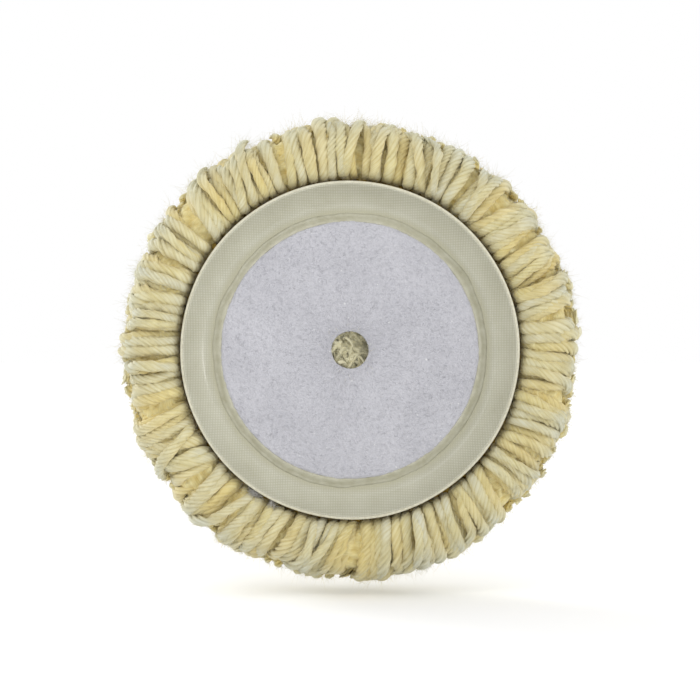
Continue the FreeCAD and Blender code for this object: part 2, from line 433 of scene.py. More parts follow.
def cloth_material():
    """Tufting cloth: an open plain weave."""
    n = Nodes("backing_cloth", Roughness=0.9)
    weave = n.weave(n.coordinates(), 320.0, 1.2, "MAXIMUM")
    base = n.ramp(weave, (0.2, (0.18, 0.13, 0.045)), (0.9, (0.45, 0.37, 0.19)))
    n.link(base, "Base Color")
    n.link(n.bump(weave, 0.6, 0.0005), "Normal")
    return n.material


def lint_material():
    """Loose grey fluff."""
    n = Nodes("grey_lint", Roughness=1.0)
    tuft = n.noise(n.coordinates(), 900.0, 2.0, 0.5)
    n.link(n.ramp(tuft, (0.3, (0.42, 0.41, 0.39)), (0.7, (0.66, 0.65, 0.62))), "Base Color")
    return n.material


# ---------------------------------------------------------------- the layers of the back

DISH_STEPS = (10, 8, 22)  # points of a meridian on the floor, the bend and the wall
DISH_COLUMNS = 720
EDGE_STEPS, EDGE_BULGE = 5, 0.25 * MM


def bend_point(angle, out):
    """A point of the bend between floor and wall, or of a layer at a distance outside it."""
    return BEND_CENTRE + (BEND_RADIUS + out) * np.array([math.sin(angle), -math.cos(angle)])


def meridian(out, end_angle):
    """Points of a layer's surface from the hole to its end on the wall."""
    floor, bend, wall = DISH_STEPS
    points = [(r, RECESS_FLOOR - out) for r in np.linspace(HOLE_RADIUS, FLOOR_RADIUS, floor)]
    points += [bend_point(angle, out) for angle in np.linspace(0, BEND_SWEEP, bend)[1:]]
    points += [wall_point(angle, out) for angle in np.linspace(BEND_SWEEP, end_angle, wall)[1:]]
    return np.array(points)


def edge_round(inner_end, outer_end):
    """Points between the ends of two surfaces, bulging outwards along the wall."""
    middle = (inner_end + outer_end) / 2
    half = (outer_end - inner_end) / 2
    ahead = np.array([-half[1], half[0]])
    ahead *= EDGE_BULGE / np.linalg.norm(ahead)
    turn = np.linspace(0, math.pi, EDGE_STEPS + 2)[1:-1]
    return np.array([middle - half * math.cos(t) + ahead * math.sin(t) for t in turn])


def dish_layer(name, inside, outside, end_angle, ripple, seed):
    """A layer of the dish with a rounded edge and a slightly uneven, hand-made lip."""
    generator = np.random.default_rng(seed)
    inner = meridian(inside, end_angle)
    outer = meridian(outside, end_angle)
    outline = np.concatenate([inner, edge_round(inner[-1], outer[-1]), outer[::-1]])
    slow = smooth_noise(DISH_COLUMNS, range(2, 9), ripple, generator)
    quick = smooth_noise(DISH_COLUMNS, range(24, 60, 5), ripple * 0.3, generator)
    share = np.clip((outline[:, :1] - FLOOR_RADIUS) / (LIP_RADIUS - FLOOR_RADIUS), 0, 1) ** 2
    radius = outline[:, :1] + share * slow
    depth = outline[:, 1:] + share * (slow * 0.5 + quick)
    return lathe(name, radius, depth)


def loop_disc():
    """The loop facing: a thin disc whose brushed face is slightly uneven."""
    columns, rings = 840, 112
    generator = np.random.default_rng(3)
    radii = np.linspace(HOLE_RADIUS, LOOP_RADIUS, rings)
    rim = smooth_noise(columns, range(3, 40, 4), 0.12 * MM, generator)
    punch = smooth_noise(columns, range(2, 9), 0.06 * MM, generator)
    share = np.linspace(0, 1, rings)[:, None]
    radius = radii[:, None] + share ** 8 * rim + (1 - share) ** 8 * punch
    nap = generator.normal(0, 0.10 * MM, (rings, columns))
    nap = (nap + np.roll(nap, 1, 1) + np.roll(nap, -1, 1)) / 2
    top = -0.12 * MM + nap
    edge_fall = np.clip((share * (rings - 1) - (rings - 4)) / 3, 0, 1) ** 2 * 0.5 * MM
    hole_fall = np.clip((3 - share * (rings - 1)) / 3, 0, 1) ** 2 * 0.35 * MM
    top = np.minimum(top, 0) - edge_fall - hole_fall
    bottom_radii = np.array([LOOP_RADIUS - 0.1 * MM, HOLE_RADIUS])
    bottom_r = bottom_radii[:, None] + np.stack([rim, punch])
    bottom_y = np.full((2, columns), LOOP_BACK)
    radius, depth = np.concatenate([radius, bottom_r]), np.concatenate([top, bottom_y])
    return lathe("loop_facing_cloth", radius, depth)


def loop_nap():
    """Brushed-up loops of thread that stand on the facing."""
    generator = np.random.default_rng(19)
    count = 7400
    low, high = (HOLE_RADIUS + 0.3 * MM) ** 2, (LOOP_RADIUS - 0.5 * MM) ** 2
    radius = np.sqrt(generator.uniform(low, high, count))
    angle = generator.uniform(0, TAU, count)
    foot = to_space(radius, np.full(count, -0.2 * MM), angle)
    heading = generator.uniform(0, TAU, count)
    way = to_space(np.ones(count), np.zeros(count), heading)
    span = generator.uniform(0.5, 1.3, (count, 1, 1)) * MM
    rise = generator.uniform(0.25, 0.55, (count, 1, 1)) * MM
    turn = np.linspace(0, math.pi, 5)[None, :, None]
    lift = np.array([0.0, 1.0, 0.0])
    lines = foot[:, None] + span * (1 - np.cos(turn)) / 2 * way[:, None]
    lines = lines + rise * np.sin(turn) * lift
    return fibre_mesh("loop_nap", lines, 0.032 * MM, generator, taper=0.0)


def adhesive_bead():
    """The adhesive: a film with an uneven bead round the loop facing."""
    columns = 540
    generator = np.random.default_rng(8)
    floor = RECESS_FLOOR
    outline = np.array([
        (HOLE_RADIUS, floor),
        (BEAD_RADIUS + 0.9 * MM, floor),
        (BEAD_RADIUS + 0.9 * MM, floor + 0.03 * MM),
        (BEAD_RADIUS + 0.1 * MM, floor + 0.20 * MM),
        (BEAD_RADIUS - 0.7 * MM, floor + 0.60 * MM),
        (BEAD_RADIUS - 1.3 * MM, floor + 1.15 * MM),
        (LOOP_RADIUS + 1.0 * MM, floor + 1.60 * MM),
        (LOOP_RADIUS + 0.4 * MM, floor + 1.85 * MM),
        (LOOP_RADIUS - 0.15 * MM, floor + 1.95 * MM),
        (LOOP_RADIUS - 0.1 * MM, LOOP_BACK),
        (HOLE_RADIUS, LOOP_BACK),
    ])
    spread = smooth_noise(columns, range(2, 30, 3), 0.28 * MM, generator)
    lift = smooth_noise(columns, range(5, 60, 6), 0.12 * MM, generator)
    radius, depth = outline[:, :1], outline[:, 1:]
    outer = radius > LOOP_RADIUS
    high = np.clip((depth - floor) / MM - 0.1, 0, 1)
    return lathe("adhesive_bead", radius + outer * spread, depth + outer * high * lift)


# ---------------------------------------------------------------- the wool

FACE_PLIES, FACE_LAY = 4, (6.2 * MM, 8.0 * MM)  # the plies and the length of their turn
FRINGE_PLIES, FRINGE_LAY = 6, (10.0 * MM, 12.5 * MM)
FIBRE_RADIUS = 0.05 * MM
# The loose fibres of each yarn: how many, and their least and greatest length in millimetres.
FACE_FUZZ = (26, (1.0, 3.2))
TANGLE_FUZZ = (32, (2.0, 6.0))
FRINGE_FUZZ_LENGTH = (2.4, 6.5)
CRADLE = (80 * MM, -14 * MM)  # the ring, as (radius, depth), that the fringe bends round
# Fibres that stand out further than this on the machine side are pressed into this room.
PRESSED_FROM, PRESSED_ROOM = 13.5 * MM, 3.8 * MM


def ply_profile(segments, plies):
    """How far each segment of a yarn's section stands out, from a groove, 0, to a crown, 1."""
    angle = (np.arange(segments) / segments * plies % 1 - 0.5) * TAU / plies
    ring = 1 / math.sin(math.pi / plies)
    reach = ring * np.cos(angle) + np.sqrt(1 - (ring * np.sin(angle)) ** 2 + 1e-9)
    return (reach - reach.min()) / (reach.max() - reach.min())


def surface_point(s):
    """Where a length s along the pile's outline, from the axis, lies, and its normal."""
    turn = np.clip((s - FACE_RADIUS) / SHOULDER_RADIUS, 0, None)
    r = np.minimum(s, FACE_RADIUS) + SHOULDER_RADIUS * np.sin(turn)
    y = FACE_DEPTH + SHOULDER_RADIUS * (1 - np.cos(turn))
    return np.stack([r, y], -1), np.stack([np.sin(turn), -np.cos(turn)], -1)


def row_edges():
    """The lengths along the pile's outline where one row's tips end and the next begin."""
    start = 1.5 * MM
    face = [start + (FACE_RADIUS - start) * i / FACE_ROWS for i in range(FACE_ROWS + 1)]
    count = ROW_COUNT - FACE_ROWS
    arc = SHOULDER_RADIUS * SHOULDER_SWEEP
    return np.array(face + [FACE_RADIUS + arc * i / count for i in range(1, count + 1)])


def root_edges():
    """The same boundaries on the tufting cloth, as (radius, depth), and the normals there."""
    points, normals = [], []
    floor_y = RECESS_FLOOR - CLOTH_OUT
    for i in range(FLOOR_ROWS + 1):
        points.append((PILE_BORE + (FLOOR_RADIUS - PILE_BORE) * i / FLOOR_ROWS, floor_y))
        normals.append((0.0, -1.0))
    points.append(bend_point(BEND_SWEEP, CLOTH_OUT))
    normals.append((math.sin(BEND_SWEEP), -math.cos(BEND_SWEEP)))
    left = ROW_COUNT - FLOOR_ROWS - 1
    for i in range(1, left + 1):
        angle = BEND_SWEEP + (LAST_ROW_ANGLE - BEND_SWEEP) * i / left
        points.append(wall_point(angle, CLOTH_OUT))
        normals.append((math.sin(angle), -math.cos(angle)))
    return np.array(points), np.array(normals)


def edge_share(s):
    """0 over the flat part of the face, rising to 1 at the end of the shoulder."""
    start = 0.75 * FACE_RADIUS
    return np.clip((s - start) / (PILE_LENGTH - start), 0, 1)


def area_per_tip(s):
    """The area each tip covers: the tufts are packed on the face and open on the shoulder."""
    packed, opening = 11.6, 5.9
    return (packed + opening * edge_share(s)) * MM * MM


def pile_openness(points):
    """How open a place in the pile lies: 1 near the outline, falling to 0 deep inside; the wool's
    colour turns it into painted shade.

    It falls faster in the well on the axis, which paints shade into the well, and the end of the
    shoulder stays open, painted light on tips that lie in shade there.
    """
    radius = np.hypot(points[..., 0], points[..., 2])
    past = np.maximum(radius - FACE_RADIUS, 0)
    above = points[..., 1] - (FACE_DEPTH + SHOULDER_RADIUS)
    depth = SHOULDER_RADIUS - np.hypot(past, above)
    fade = (2.0 + 0.7 * past / SHOULDER_RADIUS) * MM
    # Painted shade: the well on the axis darkens sooner.
    fade = fade * (1 - 0.45 * np.exp(-((radius / (6.5 * MM)) ** 4)))
    # Painted light: the tips at the end of the shoulder stay pale although they lie in shade.
    least = 0.75 * np.clip((past / SHOULDER_RADIUS - 0.6) / 0.3, 0, 1)
    return np.maximum(np.exp(-((np.maximum(depth, 0) / fade) ** 1.4)), least)


def pile_normal(points):
    """The way that the pile's outline faces beside each point."""
    radius = np.hypot(points[..., 0], points[..., 2]) + 1e-9
    past = np.maximum(radius - FACE_RADIUS, 0)
    above = points[..., 1] - (FACE_DEPTH + SHOULDER_RADIUS)
    return unit(np.stack([
        past * points[..., 0] / radius, above, past * points[..., 2] / radius
    ], -1))


def spread_tips():
    """Even places for the tips, as (length along the outline, angle)."""
    s = np.linspace(0, PILE_LENGTH, 4000)
    points, _ = surface_point(s)
    tips_up_to = np.cumsum(TAU * points[1:, 0] / area_per_tip(s[1:]) * np.diff(s))
    tips_up_to = np.concatenate([[0], tips_up_to])
    edges = row_edges()
    inner = tips_up_to[np.searchsorted(s, edges[-2])]
    start = tips_up_to[np.searchsorted(s, edges[0] + 0.6 * MM)]
    index = np.arange(int(inner - start))
    return np.interp(index + start + 0.5, tips_up_to, s), index * GOLDEN_ANGLE


def relax(points, normals, spacing):
    """Pushes points apart over the surface until they are about evenly spaced."""
    steps, strength, at_once = 7, 0.35, 400
    count = len(points)
    for _ in range(steps):
        push = np.zeros_like(points)
        for start in range(0, count, at_once):
            block = slice(start, min(start + at_once, count))
            away = points[block, None] - points
            far = np.sqrt((away ** 2).sum(-1)) + 1e-9
            near = np.clip(1 - far / (spacing[block, None] * 1.15), 0, None)
            near[np.arange(len(near)), np.arange(block.start, block.stop)] = 0
            push[block] = (away / far[..., None] * near[..., None]).sum(1)
        push -= (push * normals).sum(-1, keepdims=True) * normals
        points = points + push * spacing[:, None] * strength
    return points


def bezier(controls, t):
    """Points of many Bezier curves, controls being (points of a curve, curves, 3)."""
    order = len(controls) - 1
    weights = [math.comb(order, i) * (1 - t) ** (order - i) * t ** i for i in range(order + 1)]
    return np.einsum("kt,knx->ntx", np.array(weights), np.array(controls))


def yarn_faces(rings, segments):
    """The faces of one yarn: a tube and a fan at each end, whose middles are its last points."""
    quads = ring_faces(rings, segments)[:, ::-1]
    middle = np.full(segments, rings * segments)
    k = np.arange(segments)
    after = (k + 1) % segments
    top = (rings - 1) * segments
    foot = np.stack([middle, k, after], -1)
    head = np.stack([middle + 1, top + after, top + k], -1)
    return quads, foot, head


def yarn_frames(paths, side):
    """The way along each yarn, two ways across it, and its length up to each ring."""
    tangent = unit(np.gradient(paths, axis=1))
    across = unit(side[:, None] - (side[:, None] * tangent).sum(-1, keepdims=True) * tangent)
    run = np.linalg.norm(np.diff(paths, axis=1), axis=-1)
    length = np.concatenate([np.zeros((len(paths), 1)), np.cumsum(run, 1)], 1)
    return tangent, across, np.cross(tangent, across), length


def twist(length, segments, turn_length, unwind):
    """The angle at which each point of a yarn's sections lies: the plies wind along it."""
    one_each = (len(length), 1)
    lay = rng.uniform(*turn_length, one_each)
    wound = length * (1 - unwind * length / length[:, -1:])
    phase = rng.uniform(0, TAU, one_each) + TAU * wound / lay
    phase += 0.5 * np.sin(length / (6 * MM) + rng.uniform(0, TAU, one_each))
    return phase[..., None] + circle(segments)


def section_reach(length, radii, crown, plies, depth, splay):
    """How far each point of a yarn's sections lies from the yarn's middle."""
    count = len(length)
    uneven = 1 + 0.07 * np.sin(length / (2.3 * MM) + rng.uniform(0, TAU, (count, 1)))
    ply_size = np.repeat(rng.normal(0, 1, (count, 1, plies)), len(crown) // plies, -1)
    reach = (radii * uneven)[..., None] * (1 - depth[:, None] * (1 - crown))
    return reach * (1 + splay[:, None] * ply_size * (0.3 + 0.7 * crown))


def openness_in_pile(points, way, tangent):
    """How open the points of the yarns' surface lie: painted shade, golden and darker where they
    face into the pile.
    """
    ahead = np.zeros(points.shape[1])
    ahead[-3:] = DOME_AHEAD
    normal = ahead[:, None, None] * tangent[:, :, None, :]
    normal = normal + np.sqrt(1 - ahead ** 2)[:, None, None] * way
    facing = (normal * pile_normal(points)).sum(-1)
    return pile_openness(points) * (0.52 + 0.48 * np.clip(0.22 + 0.95 * facing, 0, 1))


def yarn_attributes(seen, openness, crown, length, washed_out):
    """The attributes of the points of the yarns' sections, then of their ends."""
    count, rings, segments = seen.shape
    body = rings * segments
    wool = np.ones((count, body + 2, 4))
    wool[:, :body, 0] = seen.reshape(count, body)
    wool[:, body:, 0] = openness[:, [0, -1]]
    wool[..., 1] = rng.uniform(0, 1, (count, 1))
    wool[:, :body, 2] = np.tile(crown, rings)
    wool[:, body:, 2] = 0.35
    if washed_out is not None:
        wool[:, :body, 3] = 1 - np.repeat(washed_out, segments)
        wool[:, body:, 3] = 1 - washed_out[[0, -1]]
    grain = np.zeros((count, body + 2, 3))
    grain[:, :body, 0] = np.tile(0.5 - 0.5 * np.cos(circle(segments)), rings)
    grain[:, :body, 1] = np.repeat(length / MM, segments, 1) * 0.25
    grain[:, body:, 1] = length[:, [0, -1]] / MM * 0.25
    grain[..., 2] = rng.uniform(0, 900, (count, 1))
    return wool_attributes(wool, grain)


def yarn_mesh(
    name, paths, radii, side, segments, openness, depth, splay, flat,
    outward=None, plies=FACE_PLIES, turn_length=FACE_LAY, unwind=0.0, washed_out=None,
):
    """Twisted yarns as one mesh, and the frames that the fuzz starts from.

    paths (count, rings, 3), radii and openness (count, rings), side (count, 3) a direction
    across each yarn, depth (rings) how deep the grooves between the plies are, as a share of
    the radius, splay (rings) how unlike in size the plies are, flat the range of a section's
    thickness to its width, outward (count, rings, 3) the way that the pile's surface faces (a
    yarn's other sides are painted darker, painted shade from its neighbours), unwind how much
    of the twist is lost towards the tip, and washed_out (rings) how far the wool is painted
    pale, a painted wash of light. Without openness, the yarns are as open as the pile is where
    they lie. Openness is painted shade in the wool's colour.
    """
    count, rings, _ = paths.shape
    tangent, across, over, length = yarn_frames(paths, side)
    turn = twist(length, segments, turn_length, unwind)
    crown = ply_profile(segments, plies)
    reach = section_reach(length, radii, crown, plies, depth, splay)
    thin = rng.uniform(*flat, (count, 1, 1))
    way = (
        np.cos(turn)[..., None] * across[:, :, None, :]
        + (thin * np.sin(turn))[..., None] * over[:, :, None, :]
    )
    points = paths[:, :, None, :] + reach[..., None] * way
    ends = np.stack([
        paths[:, 0] - tangent[:, 0] * radii[:, :1] * 0.3,
        paths[:, -1] + tangent[:, -1] * radii[:, -1:] * 0.35,
    ], 1)
    body = rings * segments
    vertices = np.concatenate([points.reshape(count, body, 3), ends], 1)
    faces = repeated(yarn_faces(rings, segments), count, body + 2)
    if openness is None:
        openness = pile_openness(paths)
        seen = openness_in_pile(points, way, tangent)
    else:
        seen = np.repeat(openness[..., None], segments, -1)
    # Painted shade: the sides of a yarn that face away from the pile's surface are darker.
    if outward is not None:
        facing = (way * outward[:, :, None, :]).sum(-1)
        seen = seen * (0.30 + 0.70 * np.clip(0.55 + 0.65 * facing, 0, 1))
    attributes = yarn_attributes(seen, openness, crown, length, washed_out)
    piece = smooth_mesh(name, vertices.reshape(-1, 3), faces, attributes)
    return piece, (paths, radii, tangent, across, over, openness)


def wool_attributes(wool, grain):
    """The point attributes that the wool's material reads."""
    return (
        ("wool", "FLOAT_COLOR", wool.reshape(-1, 4)),
        ("grain", "FLOAT_VECTOR", grain.reshape(-1, 3)),
    )


def fibre_mesh(name, lines, thickness, generator, taper=0.75, openness=1.0):
    """Fine three-sided fibres along lines (count, places, 3), thinner towards their ends."""
    count, places, _ = lines.shape
    direction = unit(np.gradient(lines, axis=1))
    first = unit(np.cross(direction, generator.normal(0, 1, (count, 1, 3))))
    second = np.cross(direction, first)
    thin = thickness * (1 - taper * np.linspace(0, 1, places))
    spokes = circle(3)
    points = lines[:, :, None] + thin[None, :, None, None] * (
        np.cos(spokes)[:, None] * first[:, :, None] + np.sin(spokes)[:, None] * second[:, :, None]
    )
    block = places * 3
    caps = np.array([[0, 1, 2], [block - 1, block - 2, block - 3]])
    faces = repeated((ring_faces(places, 3), caps), count, block)
    wool = np.ones((count, block, 4))
    # The fibres carry the painted shade of the place where they start.
    wool[..., 0] = np.broadcast_to(np.asarray(openness), (count,))[:, None]
    wool[..., 1] = generator.uniform(0.2, 0.9, (count, 1))
    grain = np.zeros((count, block, 3))
    grain[..., 2] = generator.uniform(0, 900, (count, 1))
    return smooth_mesh(name, points.reshape(-1, 3), faces, wool_attributes(wool, grain))


def flattened(depth):
    """Lays down what stands out far on the machine side, where the pad is pressed flat."""
    over = np.maximum(depth - PRESSED_FROM, 0)
    return depth - over + PRESSED_ROOM * (1 - np.exp(-over / PRESSED_ROOM))


def fuzz_mesh(name, frames, each, reach, generator, from_tip=0.22, follow=0.6):
    """Loose fibres of the yarns, each of them with as many as each.

    from_tip is how far behind the tip they start, as a share of the yarn, on average, and
    follow is how far they keep to the yarn's own direction.
    """
    paths, radii, tangent, across, over, openness = frames
    count, rings, _ = paths.shape
    yarn = np.repeat(np.arange(count), each)
    total = len(yarn)
    back = (generator.exponential(from_tip, total) * rings).astype(int) % (rings - 3)
    ring = rings - 1 - back
    turn = generator.uniform(0, TAU, total)
    out = np.cos(turn)[:, None] * across[yarn, ring] + np.sin(turn)[:, None] * over[yarn, ring]
    start = paths[yarn, ring] + out * radii[yarn, ring][:, None] * 0.85
    scatter = generator.normal(0, 0.35, (total, 3))
    way = unit(follow * tangent[yarn, ring] + (1 - follow) * out + scatter)
    bend = generator.normal(0, 0.4, (total, 3))
    length = generator.uniform(*reach, (total, 1)) * MM
    t = np.linspace(0, 1, 3)[None, :, None]
    lines = start[:, None] + length[:, None] * (t * way[:, None] + t * t * bend[:, None])
    lines[..., 1] = flattened(lines[..., 1])
    return fibre_mesh(name, lines, FIBRE_RADIUS, generator, openness=openness[yarn, ring])


def place_on_pile(generator):
    """A random place on the pile's outline and how far out it is, from 0 to 1."""
    s = PILE_LENGTH * math.sqrt(generator.uniform(0.02, 1.0))
    (r, y), _ = surface_point(np.float64(s))
    return to_space(r, y, generator.uniform(0, TAU)), r / PAD_RADIUS


def clump_field(tips, generator):
    """Wanderings of the tips: the pile clumps softly, and parts along short lines."""
    clumps, partings = 60, 46
    shift = np.zeros_like(tips)
    for _ in range(clumps):
        centre, out = place_on_pile(generator)
        way = generator.normal(0, 1, 3)
        width = generator.uniform(7, 18) * MM
        far = ((tips - centre) ** 2).sum(-1) / width ** 2
        strength = (0.7 + 2.0 * out ** 2) * generator.uniform(0.5, 1.2) * MM
        shift += np.exp(-far)[:, None] * way * strength
    for _ in range(partings):
        centre, out = place_on_pile(generator)
        line = unit(generator.normal(0, 1, 3) * (1, 0.3, 1))
        half = generator.uniform(2, 4 + 7 * out) * MM
        offset = tips - centre
        along = np.clip(offset @ line, -half, half)
        offset = offset - along[:, None] * line
        far = np.linalg.norm(offset, axis=-1, keepdims=True)
        shift += unit(offset) * np.exp(-((far / (3.0 * MM)) ** 2)) * (0.7 + 1.3 * out ** 2) * MM
    return shift


def soft_field(points, generator):
    """A soft random field over the pile, mostly between -1 and 1."""
    count, width = 260, 8.5 * MM
    field = np.zeros(len(points))
    for _ in range(count):
        centre, _ = place_on_pile(generator)
        far = ((points - centre) ** 2).sum(-1) / width ** 2
        field += generator.choice((-1.0, 1.0)) * np.exp(-far)
    return np.clip(field, -1.3, 1.3)


DIMPLE_WIDTH, DIMPLE_DEPTH = 5.6 * MM, 7.5 * MM  # the well that the tips leave on the axis


def face_tufts():
    """All the tufts but the last row's.

    Their curves' control points, their sides and rows, and how near the edge they are.
    """
    generator = np.random.default_rng(41)
    tip_s, angle = spread_tips()
    angle = angle + generator.normal(0, 0.35, len(angle)) * 3.6 * MM / np.maximum(tip_s, 4 * MM)
    tip_s = tip_s + generator.normal(0, 0.9 * MM, len(tip_s))
    tip_s = np.clip(tip_s, 3.9 * MM, row_edges()[-2])
    rz, normal2 = surface_point(tip_s)
    tips, normals = turned(rz, angle), turned(normal2, angle)
    share = edge_share(tip_s)
    spacing = np.sqrt(1.155 * area_per_tip(tip_s))  # between neighbours in a hexagonal packing
    tips = relax(tips, normals, spacing)
    edges, (roots, root_normals) = row_edges(), root_edges()
    row = np.clip(np.searchsorted(edges, tip_s) - 1, 0, ROW_COUNT - 2)
    part = np.clip((tip_s - edges[row]) / (edges[row + 1] - edges[row]), 0.04, 0.96)
    root_rz = roots[row] + (roots[row + 1] - roots[row]) * part[:, None]
    root_normal = unit(
        root_normals[row] + (root_normals[row + 1] - root_normals[row]) * part[:, None]
    )
    turn = np.arctan2(tips[:, 2], tips[:, 0])
    start, start_way = turned(root_rz, turn), turned(root_normal, turn)
    lean = clump_field(tips, generator)
    lean -= (lean * normals).sum(-1, keepdims=True) * normals
    rise = soft_field(tips, generator)
    height = (generator.normal(0, 0.5, len(tips)) + 0.65 * rise)[:, None] * MM
    from_axis = np.hypot(tips[:, 0], tips[:, 2])
    from_axis = from_axis * (1 + 0.28 * np.sin(3 * np.arctan2(tips[:, 2], tips[:, 0]) + 0.8))
    dimple = np.exp(-((from_axis / DIMPLE_WIDTH) ** 2))[:, None]
    tips = tips + lean + normals * (height - DIMPLE_DEPTH * dimple - 1.2 * MM)
    reach = np.linalg.norm(tips - start, axis=-1, keepdims=True)
    ahead = to_space(-normal2[:, 1], normal2[:, 0], angle)
    loose = (0.34 + 0.30 * share)[:, None]
    tip_way = unit(
        normals + lean / (4 * MM) + 1.1 * share[:, None] * ahead
        + generator.normal(0, 1, tips.shape) * loose
    )
    wave = generator.normal(0, 1.4 * MM, tips.shape)
    p1 = start + start_way * reach * 0.35 + wave * 0.6
    p2 = tips - tip_way * reach * 0.36 + wave
    lean_in(row, turn, p1, p2)
    return np.array([start, p1, p2, tips]), sideways(turn), row, share


def lean_in(row, turn, p1, p2):
    """The tufts round the hole lean across it, just behind the backing, and close it."""
    first = row == 0
    generator = np.random.default_rng(90)
    count = int(first.sum())
    back = RECESS_FLOOR - CLOTH_OUT
    near = generator.uniform(1.5, 6.5, count) * MM
    p1[first] = to_space(near, back - generator.uniform(0.5, 5.0, count) * MM, turn[first])
    p2[first] = to_space(near * 0.35, back - generator.uniform(12, 18, count) * MM, turn[first])


# The last three rings round off a yarn: how far ahead they lie and their size, as shares of
# the yarn's radius, and how far their surface faces along the yarn.
DOME_PLACE = (0.40, 0.74, 0.92)
DOME_WIDTH = (0.93, 0.70, 0.34)
DOME_AHEAD = (0.37, 0.71, 0.94)
FACE_YARN_RADIUS = (1.25, 2.2)  # at the root and at the tip, in millimetres


def ring_places(rings, tip_bias):
    """Parameters of the rings, closer together towards the tip, ending in a round dome."""
    t = np.linspace(0, 1, rings - 3) ** tip_bias
    return np.concatenate([t, [1.0, 1.0, 1.0]])


def round_tip(paths, radii, dome):
    """Moves the last three rings out into a dome, so that each tip is rounded."""
    way = unit(paths[:, -4] - paths[:, -5])
    size = radii[:, -4]
    for ring, (ahead, width) in enumerate(zip(DOME_PLACE, DOME_WIDTH)):
        paths[:, ring - 3] = paths[:, -4] + way * (size * dome * ahead)[:, None]
        radii[:, ring - 3] = size * width
    return paths, radii


def build_rows(material):
    """All the rows of yarn but the last, one piece a row, and the fuzz on them."""
    controls, side, row, share = face_tufts()
    generator = np.random.default_rng(64)
    root, tip = FACE_YARN_RADIUS
    for number in range(ROW_COUNT - 1):
        pick = row == number
        count = int(pick.sum())
        t = ring_places(20, 0.62)
        paths = bezier(controls[:, pick], t)
        grow = np.clip(t / 0.75, 0, 1) ** 0.8
        width = rng.uniform(0.78, 1.26, (count, 1)) * (1 + 0.22 * share[pick])[:, None]
        radii = width * (root + (tip - root) * grow) * MM
        paths, radii = round_tip(paths, radii, rng.uniform(0.45, 0.85, count))
        paths[:, -3:] += rng.normal(0, 0.28 * MM, (count, 1, 3)) * np.array([[0.4], [0.8], [1.0]])
        untwist = np.clip((t - 0.86) / 0.14, 0, 1)
        piece, frames = yarn_mesh(
            f"wool_yarn_{number + 1:02d}", paths, radii, side[pick], 16,
            None, 0.14 + 0.40 * untwist, 0.03 + 0.30 * untwist, (0.50, 0.95),
        )
        finish_wool(piece, material, ROW_NAMES[number])
        fuzz = fuzz_mesh(f"wool_fuzz_{number + 1:02d}", frames, *FACE_FUZZ, generator)
        finish_wool(fuzz, material)


# The fringe's lines of yarn: the name's ending, how many, their rings, the loose fibres of each,
# how open they lie (painted shade), by how much of a step they are turned, how unevenly they
# are set and swing, their width, then the curve's control points as (radius, depth) in
# millimetres.
FRINGE = (
    ("", 102, 34, 140, 1.00, 0.0, 0.13, 0.022, 1.00,
     ((75.8, -3.0), (75.0, 7.2), (81.0, 9.4), (96.8, 8.0), (99.0, -1.0), (96.4, -10.0))),
    ("_under_1", 104, 30, 45, 0.80, 0.5, 0.13, 0.020, 1.00,
     ((75.6, -3.0), (76.0, 3.8), (84.0, 7.2), (97.8, 6.0), (98.9, -3.5), (96.4, -12.0))),
    ("_under_2", 96, 30, 45, 0.55, 0.2, 0.13, 0.020, 1.00,
     ((75.4, -5.0), (77.0, 0.8), (86.0, 4.6), (97.2, 3.6), (98.6, -5.0), (96.0, -13.5))),
    ("_stray", 30, 34, 140, 1.00, 0.3, 0.80, 0.090, 0.84,
     ((76.0, -1.0), (75.4, 8.4), (83.0, 12.0), (93.0, 11.4), (98.6, 5.0), (98.0, -4.0))),
)
LOCKS = 33
LOCK_SEED = 77
# How far the fringe is swept round the axis, by the turn in degrees, in radians.
SWEEP = ((-180, -0.02), (-135, 0.03), (-95, 0.12), (-60, 0.05), (-40, 0.02), (0, -0.06),
         (45, 0.05), (90, -0.03), (135, 0.03), (180, -0.02))


def fringe_sweep(turn, generator):
    """The slow sweep of the fringe, with a little more unevenness."""
    around = (turn + math.pi) % TAU - math.pi
    slow = np.interp(np.degrees(around), *np.array(SWEEP).T)
    places = 720
    uneven = smooth_noise(places, range(3, 14), 0.035, generator)
    return slow + uneven[(around / TAU * places).astype(int) % places]


def fringe_locks(generator):
    """The fringe's locks: their places, swing, pull, lift and length."""
    return (
        (np.arange(LOCKS) + generator.uniform(-0.38, 0.38, LOCKS)) / LOCKS * TAU,
        generator.normal(0, 0.022, LOCKS),
        generator.uniform(0.10, 0.55, LOCKS),
        generator.normal(0, 0.9, LOCKS),
        generator.normal(0, 1.5, LOCKS),
    )


def place_in_lock(turn, centres):
    """Which lock each turn belongs to, how far it is from the middle, and how near an edge."""
    offset = (centres - turn[:, None] + math.pi) % TAU - math.pi
    lock = np.abs(offset).argmin(1)
    inside = offset[np.arange(len(turn)), lock]
    return lock, inside, np.clip(np.abs(inside) * LOCKS / math.pi, 0, 1) ** 2


def fringe_controls(outline, turn, swing, gather, lift, longer, generator):
    """The control points of a line of yarns: for each place of the outline, all the yarns'."""
    count = len(turn)
    controls = []
    for step, (r, y) in enumerate(outline):
        far = step / (len(outline) - 1)
        bulge = math.sin(far * math.pi)
        place = turn + swing * far ** 1.2 + gather * min(far / 0.7, 1) ** 1.3
        place = place + generator.normal(0, 0.012, count) * bulge
        radius = r + longer * far ** 2 + generator.normal(0, 0.35, count) * bulge
        depth = y + lift * bulge + generator.normal(0, 0.4, count) * far
        controls.append(to_space(radius * MM, depth * MM, place))
    return controls


